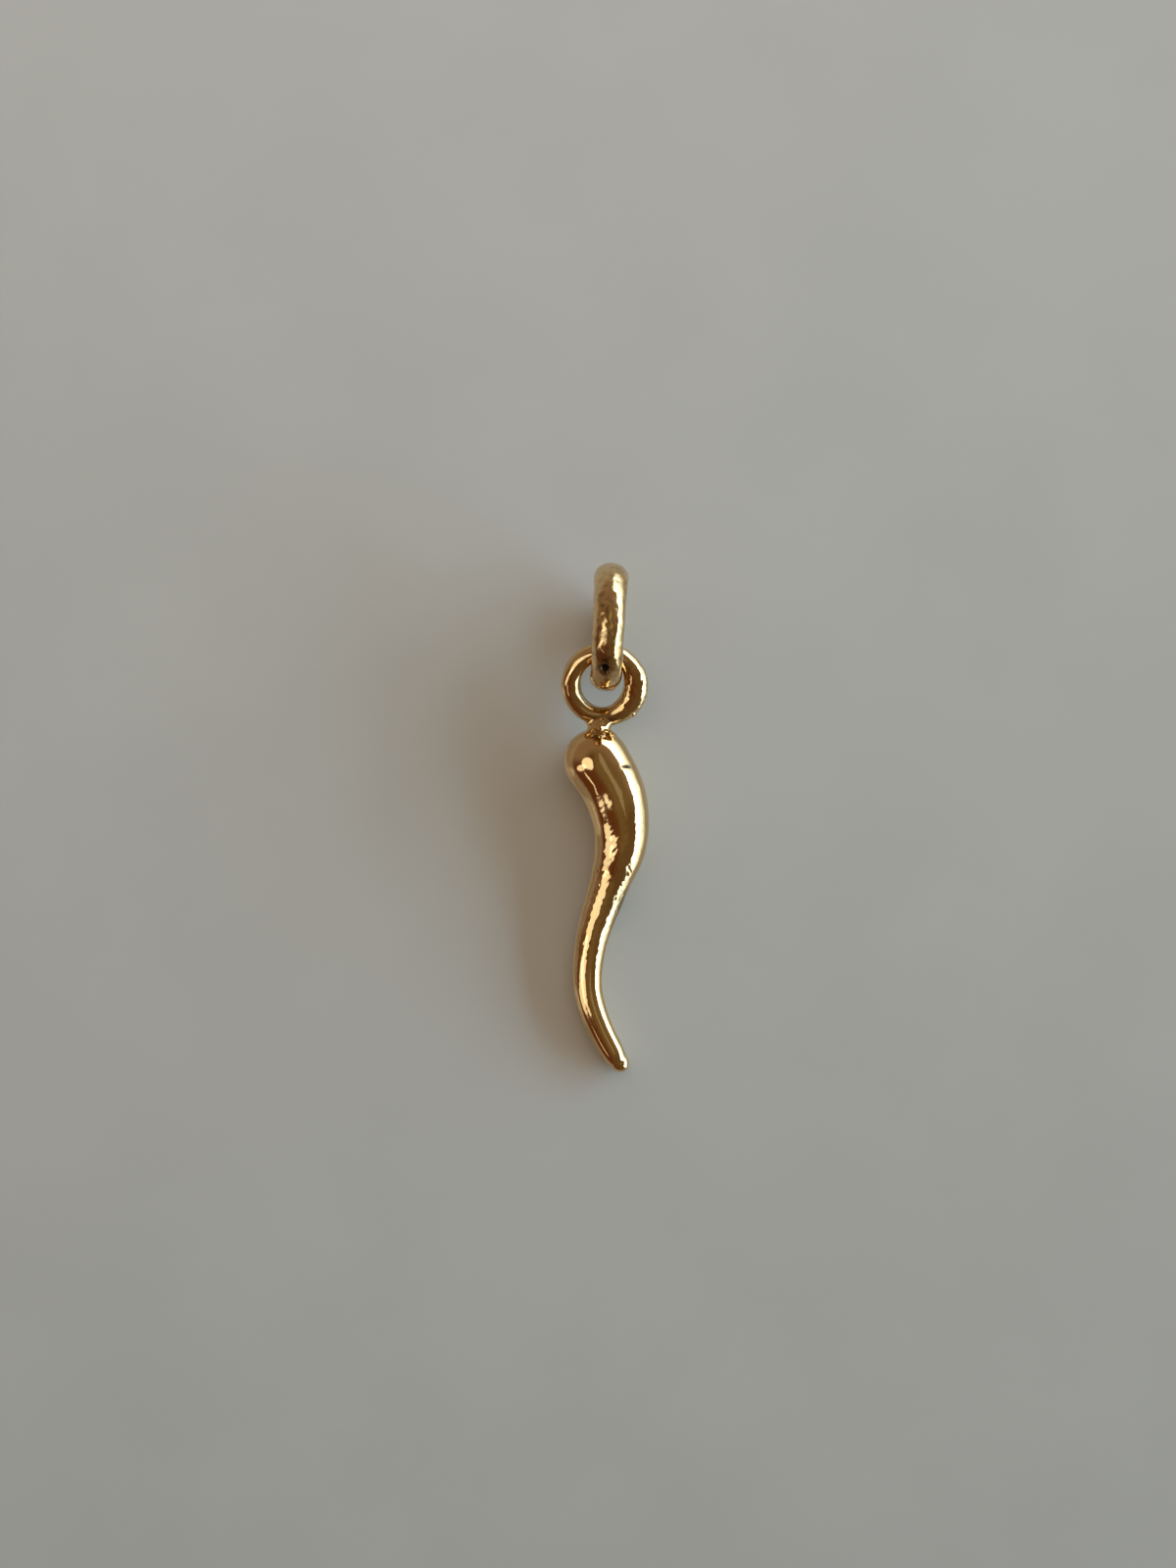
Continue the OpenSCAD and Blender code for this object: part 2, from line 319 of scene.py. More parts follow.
class BailSizes(bpy.types.PropertyGroup):
    """Sizes of the bail ring."""
    across: length("Diameter", 6.22 * MM, "Outer diameter of the ring")
    wire: length("Wire", 1.42 * MM, "Thickness of its wire across the ring")
    wide: length("Width", 1.54 * MM, "Thickness of its wire along the hole")
    yaw: angle("Turn", math.radians(3.2), "Turn of the ring away from the line of the horn")
    side: length("Offset", 0.24 * MM, "To the right of the middle of the eye")
    gap: length("Gap", 0.08 * MM, "Between the ring and the eye's wire")
    ripple: length("Ripple", 0.009 * MM, "Height of the cast ring's broad unevenness")
    skin: length("Skin", 0.0035 * MM, "Height of its fine unevenness")


class GoldFinish(bpy.types.PropertyGroup):
    """Colours and polish of the gold."""
    gold: colour("Gold", (0.83, 0.59, 0.295), "Colour of the polished metal")
    deep: colour("Deep Gold", (0.77, 0.49, 0.205), "Colour of its redder patches")
    # Colour the marks darken the metal to: real stains, and also painted shade in the crease and
    # corners by the neck and painted dark reflections on the head and the bail ring
    darkening: colour("Tarnish", (0.035, 0.018, 0.01), "Colour of the metal in pits and creases")
    horn_rough: share("Horn Roughness", 0.05, "Roughness of the polished horn")
    eye_rough: share("Eye Roughness", 0.05, "Roughness of the eye and the solder")
    bail_rough: share("Bail Roughness", 0.09, "Roughness of the cast bail ring")


class Studio(bpy.types.PropertyGroup):
    """Floor, light and camera."""
    floor: colour("Floor", (0.62, 0.62, 0.63), "Colour of the plain floor")
    floor_rough: share("Floor Roughness", 0.12, "Roughness of the floor's gloss")
    sheen: number("Sheen", 4.4, "Brightness of the large white lights as the metal mirrors them")
    wall: number("Wall", 1.2, "Brightness of the warm lights as the metal mirrors them")
    key: number("Key", 6.6, "Brightness of the soft light from the right on the floor")
    fill: number("Fill", 0.56, "Brightness of the soft light from above on the floor")
    room: number("Room", 1.0, "Brightness of the room around")
    lens: number("Lens", 53.56, "Focal length of the camera in millimetres")
    lift: length("Camera Height", 115.7 * MM, "Height of the camera above the floor")


class CharmSettings(bpy.types.PropertyGroup):
    """All sizes and colours of the charm and its studio."""
    horn: bpy.props.PointerProperty(type=HornSizes, name="Horn", description="The horn")
    eye: bpy.props.PointerProperty(type=EyeSizes, name="Eye", description="The eye")
    bail: bpy.props.PointerProperty(type=BailSizes, name="Bail", description="The bail ring")
    finish: bpy.props.PointerProperty(type=GoldFinish, name="Gold", description="The gold")
    studio: bpy.props.PointerProperty(type=Studio, name="Studio", description="The studio")


# Shapes

def unit(v):
    """Each vector divided by its own length."""
    return v / np.linalg.norm(v, axis=-1, keepdims=True)


def smooth_rows(rows, place):
    """Rows of a table at places between them, on a smooth curve through them.

    Between rows b and c, with a before and d after them, share t of the way gives
    b + t/2 (c - a + t (2a - 5b + 4c - d + t (3 (b - c) + d - a))).
    Place 0 is the second row, as the first and the last only bend the ends.
    """
    i = np.clip(np.floor(place).astype(int), 0, len(rows) - 4)
    t = (place - i)[:, None]
    a, b, c, d = (rows[i + k] for k in range(4))
    return b + t / 2 * (c - a + t * (2 * a - 5 * b + 4 * c - d + t * (3 * (b - c) + d - a)))


def round_shares(shares, turn):
    """Shares that go round a ring, at turns in radians, on the same smooth curve, closed."""
    rows = np.concatenate([shares[-1:], shares, shares[:2]])[:, None]
    return smooth_rows(rows, turn / (2 * np.pi) * len(shares) % len(shares))[:, 0]


def waves(points, kind):
    """Soft unevenness between about -1 and 1 at points in space, of a kind's size and seed.

    It is the sum of plane waves, sin(d . p / size + phase), with seeded directions d of
    lengths about 2 pi and seeded phases, over the root of half their number.
    """
    size, seed = kind
    draw = np.random.default_rng(seed)
    heading = unit(draw.normal(size=(WAVES, 3))) * 2 * np.pi
    towards = heading * draw.uniform(*WAVE_LENGTHS, (WAVES, 1))
    phase = draw.uniform(0, 2 * np.pi, WAVES)
    return np.sin(points @ towards.T / (size * MM) + phase).sum(-1) / math.sqrt(WAVES / 2)


def soft_at(points, place, origin=0.0):
    """A round mask, exp(-(distance / size) squared), which is 1 at the middle of a soft place
    whose middle is measured from the origin."""
    middle, size = np.array(place) * MM
    return np.exp(-(((points - (origin + middle)) / size) ** 2).sum(-1))


def calm(points):
    """Height above the floor over the height where unevenness fades, from 0 to 1."""
    return np.clip(points[..., 2] / CALM_BELOW, 0, 1)


def oval_tube(middle, across, upward, wide, deep, sides):
    """Grid of a tube's points: section s, side k lies at middle + wide cos(t) across +
    deep sin(t) upward, where t is k's share of a full turn."""
    turn = np.arange(sides) / sides * 2 * np.pi
    return (middle[:, None]
            + (wide[:, None] * np.cos(turn))[..., None] * across[:, None]
            + (deep[:, None] * np.sin(turn))[..., None] * upward[:, None])


def grid_mesh(name, grid, poles=None):
    """Mesh object through a grid of sections and sides, with a UV map in metres along and round.

    Each cell is one face. Sides always close. Sections close too, or end in two poles, each
    joined to its section by a fan of triangles.
    """
    sections, sides = grid.shape[:2]
    cells = sections if poles is None else sections - 1
    i, k = (a.ravel() for a in np.meshgrid(np.arange(cells), np.arange(sides), indexing="ij"))
    j, l = i + 1, k + 1
    corners = np.stack([i * sides + k, i * sides + l % sides,
                        j % sections * sides + l % sides, j % sections * sides + k], 1)
    middle = grid.mean(1)
    steps = np.linalg.norm(np.roll(middle, -1, 0) - middle, axis=-1)
    along = np.concatenate([[0], np.cumsum(steps)])
    girth = np.linalg.norm(np.roll(grid, -1, 1) - grid, axis=-1).sum(1).mean()
    side = np.arange(sides + 1) / sides * girth
    uv = np.stack([np.stack([along[i], along[i], along[j], along[j]], 1),
                   np.stack([side[k], side[l], side[l], side[k]], 1)], -1)
    points = grid.reshape(-1, 3)
    loops, places = corners.ravel(), uv.reshape(-1, 2)
    starts = np.arange(len(corners)) * 4
    if poles is not None:
        points = np.concatenate([points, poles])
        k, l = np.arange(sides), (np.arange(sides) + 1) % sides
        first, last = np.full(sides, len(points) - 2), np.full(sides, len(points) - 1)
        end = (sections - 1) * sides
        fans = np.concatenate([np.stack([first, l, k], 1), np.stack([last, end + k, end + l], 1)])
        ends = np.repeat([[0.0], [along[cells]]], sides, 0)
        rounds = np.tile(side[:sides], 2)[:, None]
        fan_uv = np.stack([np.repeat(ends, 3, 1), np.repeat(rounds, 3, 1)], -1)
        starts = np.concatenate([starts, len(loops) + np.arange(len(fans)) * 3])
        loops = np.concatenate([loops, fans.ravel()])
        places = np.concatenate([places, fan_uv.reshape(-1, 2)])
    return make_object(name, points, loops, starts, places)


def make_object(name, points, loops, starts, places):
    """Object at the origin from whole arrays of points, face corners, face starts and UV places."""
    mesh = bpy.data.meshes.new(name)
    mesh.vertices.add(len(points))
    mesh.vertices.foreach_set("co", points.astype(np.float32).ravel())
    mesh.loops.add(len(loops))
    mesh.loops.foreach_set("vertex_index", loops.astype(np.int32))
    mesh.polygons.add(len(starts))
    mesh.polygons.foreach_set("loop_start", starts.astype(np.int32))
    mesh.update(calc_edges=True)
    mesh.shade_smooth()
    mesh.uv_layers.new(name="Along").uv.foreach_set("vector", places.astype(np.float32).ravel())
    if mesh.validate():
        raise RuntimeError(f"the mesh of {name} has faulty faces")
    piece = bpy.data.objects.new(name, mesh)
    bpy.context.scene.collection.objects.link(piece)
    return piece


def lay_darkening(piece, amount):
    """Puts each point's share of darkening on the piece as the attribute Tarnish, which holds real
    stains and painted shade and reflection alike.
    """
    layer = piece.data.attributes.new("Tarnish", "FLOAT", "POINT")
    values = np.zeros(len(piece.data.vertices), np.float32)
    values[:amount.size] = np.clip(amount, 0, 1).ravel()
    layer.data.foreach_set("value", values)


def dress(piece, material, node):
    """Gives a piece its metal, and puts it in the frame in place of the solid it stands for."""
    piece.data.materials.append(material)
    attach(piece, "root")
    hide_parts(node)


def horn_rows(horn, place):
    """Middle, heading and radius of the horn at places along its table, with the head's middle
    above the origin. The middle's height is its radius plus its share of the arch."""
    top, tip = HORN_TABLE[:2], HORN_TABLE[-2:]
    before, after = 2 * top[0] - top[1], 2 * tip[1] - tip[0]
    before[THICK:], after[THICK:] = top[1, THICK:], tip[0, THICK:]
    rows = np.concatenate([before[None], HORN_TABLE, after[None]])
    head = horn.thick / 2
    span = horn.long - head - head * HORN_TABLE[-1, THICK]

    def row_at(at):
        soft = SOFTEN * np.clip(np.minimum(at, len(HORN_TABLE) - 1 - at), 0, 1)
        return (smooth_rows(rows, at - soft) + 2 * smooth_rows(rows, at)
                + smooth_rows(rows, at + soft)) / 4

    def middle(at):
        row = row_at(at)
        return np.stack([(row[:, SIDE] - HORN_TABLE[0, SIDE]) * horn.sway, -row[:, DOWN] * span,
                         head * row[:, THICK] + row[:, ARCH] * horn.arch], 1)

    heading = unit(middle(place + NUDGE) - middle(place - NUDGE))
    return middle(place), heading, head * row_at(place)[:, THICK]


def horn_grid(horn):
    """Points of the horn, middles of its sections and its two poles.

    Sections stand square to the middle line. The head is a half ball, whose sections lie
    radius cos(t) beyond the line's end and have the radius times sin(t). The tip goes on from
    the taper of the horn, whose lean is c: its sections lie radius (sin(t) - sin(c)) /
    (1 - sin(c)) beyond the line's end and have the radius times cos(t) / cos(c).
    """
    last = len(HORN_TABLE) - 1
    turn = np.linspace(0, np.pi / 2, CAP_STEPS + 1)[1:-1]
    tip = np.linspace(TIP_LEAN, np.pi / 2, CAP_STEPS + 1)[1:-1]
    body = np.linspace(0, last, HORN_STEPS + 1)
    place = np.concatenate([0 * turn, body, 0 * turn + last])
    line, heading, radius = horn_rows(horn, place)
    lean = math.sin(TIP_LEAN)
    ahead = np.concatenate([-np.cos(turn), 0 * body, (np.sin(tip) - lean) / (1 - lean)]) * radius
    radius = radius * np.concatenate([np.sin(turn), 0 * body + 1,
                                      np.cos(tip) / math.cos(TIP_LEAN)])
    middle = line + ahead[:, None] * heading
    across = unit(np.cross(UP, heading))
    grid = oval_tube(middle, across, np.cross(heading, across), radius, radius, HORN_SIDES)
    ends = line[[0, -1]] + heading[[0, -1]] * horn.thick / 2 * np.array(
        [[-HORN_TABLE[0, THICK]], [HORN_TABLE[-1, THICK]]])
    return grid, middle, ends


def eye_parts(horn, eye):
    """Middle, far direction and normal of the eye, and its foot, from the horn's own origin.

    The foot lies a head's radius, the neck and half the wire beyond the head's middle, and
    the eye rises from it at its tilt.
    """
    grid = horn_grid(horn)[0]
    drop = grid[..., 2].min()
    head = horn_rows(horn, np.zeros(1))[0][0] - drop * UP
    far = np.array([0, math.cos(eye.tilt), math.sin(eye.tilt)])
    normal = np.array([0, -math.sin(eye.tilt), math.cos(eye.tilt)])
    reach = horn.thick / 2 + eye.neck + eye.wire / 2 * EYE_SHARES[EYE_FOOT]
    foot = head + np.array([eye.side, reach, 0])
    return {"head": head, "drop": drop, "far": far, "normal": normal, "foot": foot,
            "middle": foot + eye.high / 2 * far, "top": foot + eye.high * far}


def eye_grid(eye, parts):
    """Points and section middles of the eye: an oval wire that runs round an oval, and whose
    width across the wire changes round the ring."""
    turn = np.arange(EYE_STEPS) / EYE_STEPS * 2 * np.pi
    x, far = np.array([1.0, 0, 0]), parts["far"]
    middle = (parts["middle"] + np.outer(np.cos(turn) * eye.wide / 2, x)
              + np.outer(np.sin(turn) * eye.high / 2, far))
    outward = unit(np.outer(np.cos(turn) * eye.high, x) + np.outer(np.sin(turn) * eye.wide, far))
    downward = np.broadcast_to(-parts["normal"], middle.shape)
    wide = eye.wire / 2 * round_shares(EYE_SHARES, turn)
    deep = np.full(EYE_STEPS, eye.wire / 2)
    return oval_tube(middle, outward, downward, wide, deep, EYE_SIDES), middle


def to_box(horn, eye):
    """Shift from the head's own origin to the frame: the box of horn and eye goes where the
    solid's box is."""
    parts = eye_parts(horn, eye)
    points = np.concatenate([horn_grid(horn)[0].reshape(-1, 3),
                             eye_grid(eye, parts)[0].reshape(-1, 3)])
    middle = (points.min(0) + points.max(0)) / 2
    wanted = (np.array(HORN_BOX[0]) + np.array(HORN_BOX[1])) / 2
    return np.array([wanted[0] - middle[0], wanted[1] - middle[1], 0])


def bail_parts(horn, eye, bail):
    """Middle, far direction and axis of the bail ring, from the horn's own origin.

    It stands on its edge. Its hole's near side rests the gap away from the top of the eye's
    far end, so its middle lies root(reach squared - rise squared) beyond that.
    """
    parts = eye_parts(horn, eye)
    radius = bail.across / 2
    reach = radius - bail.wire - eye.wire / 2 * EYE_SHARES[EYE_FAR] - bail.gap
    rise = radius - parts["top"][2]
    middle = np.array([parts["middle"][0] + bail.side,
                       parts["top"][1] + math.sqrt(reach ** 2 - rise ** 2), radius])
    return (middle, np.array([math.sin(bail.yaw), math.cos(bail.yaw), 0]),
            np.array([math.cos(bail.yaw), -math.sin(bail.yaw), 0]))


def bail_grid(bail, middle, far, axis):
    """Points and section middles of the bail ring: an oval wire round a circle."""
    turn = np.arange(BAIL_STEPS) / BAIL_STEPS * 2 * np.pi
    outward = np.outer(-np.cos(turn), far) + np.outer(np.sin(turn), UP)
    line = middle + (bail.across - bail.wire) / 2 * outward
    deep = bail.wide / 2 * round_shares(BAIL_SHARES, turn)
    wide = np.full(BAIL_STEPS, bail.wire / 2)
    axes = np.broadcast_to(axis, line.shape)
    return oval_tube(line, outward, axes, wide, deep, BAIL_SIDES), line


def marks_at(grid, marks):
    """Depth of the marks at each point, the sum of depth exp(-(distance / radius) ** steep),
    and its share of darkening, the largest of darkening exp(-(distance / radius) ** steep). Soft
    waves stretch the distances, so no mark is quite round."""
    apart = np.linalg.norm(grid[..., None, :] - marks[:, :3] * MM, axis=-1)
    apart = apart * (1 + MARK_STRETCH * waves(grid, MARK_EDGE)[..., None])
    near = np.exp(-(apart / (marks[:, 3] * MM)) ** marks[:, 6])
    return (near * marks[:, 4] * MM).sum(-1), (near * marks[:, 5]).max(-1)


def bead_grid(middle, half):
    """Points, section middles and poles of a bead: section t of half a turn lies -cos(t) of its
    half height up, and is an oval of sin(t) times its half widths."""
    turn = np.linspace(0, np.pi, BEAD_STEPS + 1)[1:-1]
    line = middle - np.outer(np.cos(turn) * half[2], UP)
    across = np.broadcast_to([1.0, 0, 0], line.shape)
    upward = np.broadcast_to([0, 1.0, 0], line.shape)
    grid = oval_tube(line, across, upward, np.sin(turn) * half[0], np.sin(turn) * half[1],
                     BEAD_SIDES)
    return grid, line, middle + np.outer([-half[2], half[2]], UP)


def raised(grid, middle, height):
    """The grid with each point moved out from its section's middle by a height."""
    return grid + unit(grid - middle[:, None]) * height[..., None]


# Materials

def link(tree, value, socket):
    """Joins a node's output to a socket, or sets the socket to a plain value."""
    if isinstance(value, bpy.types.NodeSocket):
        tree.links.new(value, socket)
    else:
        socket.default_value = value


def add(tree, kind, settings=None, **inputs):
    """Adds a node, sets its own settings and links or sets the inputs that are named."""
    node = tree.nodes.new(kind)
    for key, value in (settings or {}).items():
        setattr(node, key, value)
    for key, value in inputs.items():
        link(tree, value, node.inputs[key.replace("_", " ")])
    return node


def sums(tree, operation, a, b, clamp=False):
    """Output of a Math node on a and b."""
    node = add(tree, "ShaderNodeMath", {"operation": operation, "use_clamp": clamp})
    link(tree, a, node.inputs[0])
    link(tree, b, node.inputs[1])
    return node.outputs[0]


def spread(tree, value, low, high, to_low=0.0, to_high=1.0):
    """Output of a smooth Map Range node, which takes low to to_low and high to to_high."""
    node = tree.nodes.new("ShaderNodeMapRange")
    node.interpolation_type = "SMOOTHSTEP"
    for key, limit in zip(("From Min", "From Max", "To Min", "To Max"),
                          (low, high, to_low, to_high)):
        node.inputs[key].default_value = limit
    link(tree, value, node.inputs["Value"])
    return node.outputs["Result"]


def blend_colour(tree, mask, a, b):
    """Output of a Mix node that goes from colour a to colour b with the mask. The node's sockets
    share their names, so they are taken by number."""
    node = tree.nodes.new("ShaderNodeMix")
    node.data_type = "RGBA"
    link(tree, mask, node.inputs[0])
    link(tree, a, node.inputs[6])
    link(tree, b, node.inputs[7])
    return node.outputs[2]


def new_group(name, inputs, outputs):
    """Empty shader node group with named sockets. Returns its tree, inputs and output node."""
    group = bpy.data.node_groups.new(name, "ShaderNodeTree")
    for label, kind, default in inputs:
        socket = group.interface.new_socket(label, in_out="INPUT", socket_type=kind)
        socket.default_value = default
    for label, kind in outputs:
        group.interface.new_socket(label, in_out="OUTPUT", socket_type=kind)
    given = group.nodes.new("NodeGroupInput").outputs
    return group, given, group.nodes.new("NodeGroupOutput").inputs


def in_mm(tree):
    """The piece's own place in millimetres, as a vector."""
    place = add(tree, "ShaderNodeTexCoord").outputs["Object"]
    scaled = add(tree, "ShaderNodeVectorMath", {"operation": "SCALE"}, Vector=place)
    scaled.inputs["Scale"].default_value = 1 / MM
    return scaled.outputs[0]


def noise(tree, vector, size, detail=PLAIN):
    """Value of a noise texture whose patches are about as wide as size, in the vector's unit."""
    per_size = sums(tree, "DIVIDE", 1.0, size)
    node = add(tree, "ShaderNodeTexNoise", Vector=vector, Scale=per_size, Detail=detail)
    return node.outputs["Fac"]


def gold_tone_group():
    """Gold in soft patches of two tones, darkened where the piece's Tarnish attribute says so and in
    random spots of film. The attribute holds real stains and painted shade and reflection alike.
    """
    tree, given, out = new_group("Gold Tone", [
        ("Gold", "NodeSocketColor", (0.9, 0.65, 0.3, 1)),
        ("Deep Gold", "NodeSocketColor", (0.8, 0.5, 0.2, 1)),
        ("Tarnish Colour", "NodeSocketColor", (0.2, 0.1, 0.05, 1)),
        ("Patch Size", "NodeSocketFloat", 1.5),
        ("Patches", "NodeSocketFloat", 0.5),
        ("Film", "NodeSocketFloat", 0.1),
    ], [("Color", "NodeSocketColor"), ("Tarnish", "NodeSocketFloat")])
    place = in_mm(tree)
    patch = spread(tree, noise(tree, place, given["Patch Size"]), *PATCH_FADE)
    tone = blend_colour(tree, sums(tree, "MULTIPLY", patch, given["Patches"]),
                        given["Gold"], given["Deep Gold"])
    # The Tarnish attribute carries real stains and painted shade and reflection alike
    mask = add(tree, "ShaderNodeAttribute", {"attribute_name": "Tarnish"}).outputs["Fac"]
    ragged = sums(tree, "ADD", noise(tree, place, RAGGED_SIZE, FINE), RAGGED_LEAST)
    spots = spread(tree, noise(tree, place, SPOT_SIZE, FINE), *SPOT_FADE)
    film = sums(tree, "MULTIPLY", spots, given["Film"])
    darkening = sums(tree, "ADD", sums(tree, "MULTIPLY", mask, ragged), film, clamp=True)
    link(tree, blend_colour(tree, darkening, tone, given["Tarnish Colour"]), out["Color"])
    link(tree, darkening, out["Tarnish"])
    return tree


def cast_skin_group():
    """Height in millimetres of a cast and polished skin: soft dimples and sparse pin holes."""
    tree, given, out = new_group("Cast Skin", [
        ("Dimple Size", "NodeSocketFloat", 0.2),
        ("Dimples", "NodeSocketFloat", 0.001),
        ("Pits", "NodeSocketFloat", 0.002),
    ], [("Height", "NodeSocketFloat")])
    place = in_mm(tree)
    dimples = sums(tree, "MULTIPLY", noise(tree, place, given["Dimple Size"]), given["Dimples"])
    cells = add(tree, "ShaderNodeTexVoronoi", {"feature": "F1"}, Vector=place, Scale=HOLES)
    hole = spread(tree, cells.outputs["Distance"], *HOLE_FADE, 1.0, 0.0)
    sparse = spread(tree, noise(tree, place, HOLE_PATCH), *HOLE_PATCH_FADE)
    sunk = sums(tree, "MULTIPLY", sums(tree, "MULTIPLY", hole, sparse), given["Pits"])
    link(tree, sums(tree, "SUBTRACT", dimples, sunk), out["Height"])
    return tree


def polish_group():
    """Fine polishing lines along a piece, by its own map: their height in millimetres, and a
    roughness that changes in faint streaks and smudges."""
    tree, given, out = new_group("Polish Lines", [
        ("Roughness", "NodeSocketFloat", 0.08),
        ("Smudge", "NodeSocketFloat", 0.03),
        ("Line Height", "NodeSocketFloat", 0.0002),
    ], [("Height", "NodeSocketFloat"), ("Roughness", "NodeSocketFloat")])
    along = add(tree, "ShaderNodeUVMap", {"uv_map": "Along"}).outputs[0]
    drawn = add(tree, "ShaderNodeMapping", Vector=along,
                Scale=(1 / MM / LINE_STRETCH, 1 / MM, 1 / MM))
    lines = noise(tree, drawn.outputs[0], LINE_WIDTH)
    smudge = noise(tree, in_mm(tree), SMUDGE_SIZE, FINE)
    link(tree, sums(tree, "MULTIPLY", lines, given["Line Height"]), out["Height"])
    streak = sums(tree, "MULTIPLY", sums(tree, "ADD", lines, smudge), given["Smudge"])
    link(tree, sums(tree, "ADD", given["Roughness"], streak), out["Roughness"])
    return tree


def gold_material(name, finish, rough, patches, patch_size, film, dimples, dimple_size, pits,
                  lines):
    """Polished gold: a metal whose tone, roughness and relief come from the shared groups."""
    material = bpy.data.materials.new(name)
    material.use_nodes = True
    tree = material.node_tree
    shader = tree.nodes["Principled BSDF"]
    shader.inputs["Metallic"].default_value = 1.0
    tone = add(tree, "ShaderNodeGroup", {"node_tree": shared("Gold Tone")},
               Gold=(*finish.gold, 1), Deep_Gold=(*finish.deep, 1),
               Tarnish_Colour=(*finish.darkening, 1), Patch_Size=patch_size, Patches=patches,
               Film=film)
    skin = add(tree, "ShaderNodeGroup", {"node_tree": shared("Cast Skin")},
               Dimple_Size=dimple_size, Dimples=dimples, Pits=pits)
    polish = add(tree, "ShaderNodeGroup", {"node_tree": shared("Polish Lines")},
                 Roughness=rough, Line_Height=lines)
    link(tree, tone.outputs["Color"], shader.inputs["Base Color"])
    dull = sums(tree, "MULTIPLY", tone.outputs["Tarnish"], DULL)
    link(tree, sums(tree, "ADD", polish.outputs["Roughness"], dull), shader.inputs["Roughness"])
    height = sums(tree, "ADD", skin.outputs["Height"], polish.outputs["Height"])
    bump = add(tree, "ShaderNodeBump", Height=height)
    bump.inputs["Distance"].default_value = MM
    link(tree, bump.outputs["Normal"], shader.inputs["Normal"])
    return material


def shared(name):
    """The shared node group of that name, built the first time it is asked for."""
    makers = {"Gold Tone": gold_tone_group, "Cast Skin": cast_skin_group,
              "Polish Lines": polish_group}
    return bpy.data.node_groups.get(name) or makers[name]()


def horn_gold(finish):
    """Gold of the horn, evenly polished."""
    return gold_material("Horn Gold", finish, finish.horn_rough, patches=0.5, patch_size=2.2,
                         film=0.04, dimples=0.0006, dimple_size=0.16, pits=0.0, lines=0.0001)


def eye_gold(finish):
    """Gold of the eye and the solder, with small dimples."""
    return gold_material("Eye Gold", finish, finish.eye_rough, patches=0.7, patch_size=0.9,
                         film=0.15, dimples=0.0022, dimple_size=0.12, pits=0.001, lines=0.0001)


def bail_gold(finish):
    """Gold of the cast bail ring, redder in patches, dimpled and pitted."""
    return gold_material("Bail Gold", finish, finish.bail_rough, patches=0.9, patch_size=0.6,
                         film=0.35, dimples=0.003, dimple_size=0.16, pits=0.006, lines=0.0002)


# Pieces

class CHARM_OT_add_horn(bpy.types.Operator):
    """Add the S-shaped horn, polished, with its slight unevenness"""
    bl_idname = "charm.add_horn"
    bl_label = "Add Horn"
    bl_options = {"REGISTER", "UNDO"}

    def execute(self, context):
        charm = context.scene.charm
        parts = eye_parts(charm.horn, charm.eye)
        grid, middle, poles = horn_grid(charm.horn)
        box = to_box(charm.horn, charm.eye)
        shift = box - parts["drop"] * UP
        grid, middle, poles = grid + shift, middle + shift, poles + shift
        waist = soft_at(grid, WAIST, parts["head"] + box)
        fine, broad = RIPPLE_SHARES
        height = (charm.horn.swell * waves(grid, SWELL)
                  + charm.horn.ripple * waist * (fine * waves(grid @ SLANT, RIPPLE_FINE)
                                                 + broad * waves(grid @ SLANT, RIPPLE_BROAD)))
        # Masks of the crease, the dent across the head and the rough patch on the waist. Their
        # darkening below is painted: shade in the crease, a reflection of a dark window bar across the
        # dent, and shade over the window's reflection on the rough patch, whose unevenness is real
        crease, nick_and_dark_bar, rough_and_shaded = soft_at(grid, CREASE), soft_at(grid, NICK_AND_DARK_BAR), soft_at(grid, ROUGH_AND_SHADED)
        height = height + WORN_HEIGHT * rough_and_shaded * waves(grid, WORN_SKIN)
        grid = raised(grid, middle, height * calm(grid) - MARK_DEPTH * (crease + nick_and_dark_bar))
        piece = grid_mesh("horn", grid, poles)
        lay_darkening(piece, np.maximum(np.maximum(CREASE_SHADE * crease, DARK_BAR_REFLECTION * nick_and_dark_bar),
                                ROUGH_SHADE * rough_and_shaded))
        dress(piece, horn_gold(charm.finish), "horn_with_eye")
        return {"FINISHED"}


class CHARM_OT_add_eye(bpy.types.Operator):
    """Add the eye, a ring of wire on the horn's head"""
    bl_idname = "charm.add_eye"
    bl_label = "Add Eye"
    bl_options = {"REGISTER", "UNDO"}

    def execute(self, context):
        charm = context.scene.charm
        parts = eye_parts(charm.horn, charm.eye)
        shift = to_box(charm.horn, charm.eye)
        grid, middle = eye_grid(charm.eye, parts)
        grid, middle = grid + shift, middle + shift
        centre, foot = parts["middle"] + shift, parts["foot"] + shift
        seam = soft_at(grid, EYE_SEAM, centre)
        height = charm.eye.ripple * ((EYE_PLAIN + seam) * waves(grid, EYE_BROAD)
                                     + EYE_SEAM_FINE * seam * waves(grid, EYE_FINE))
        grid = raised(grid, middle, height)
        piece = grid_mesh("eye_ring", grid)
        # The root and the inner side are darkened: painted shade
        root = soft_at(grid, EYE_ROOT, foot)
        apart = np.linalg.norm(grid - centre, axis=-1) / MM
        band, width = INNER_BAND
        inner = soft_at(grid, EYE_INNER, centre) * np.exp(-((apart - band) / width) ** 2)
        lay_darkening(piece, np.maximum(ROOT_SHADE * root, INNER_SHADE * inner))
        dress(piece, eye_gold(charm.finish), "horn_with_eye")
        return {"FINISHED"}


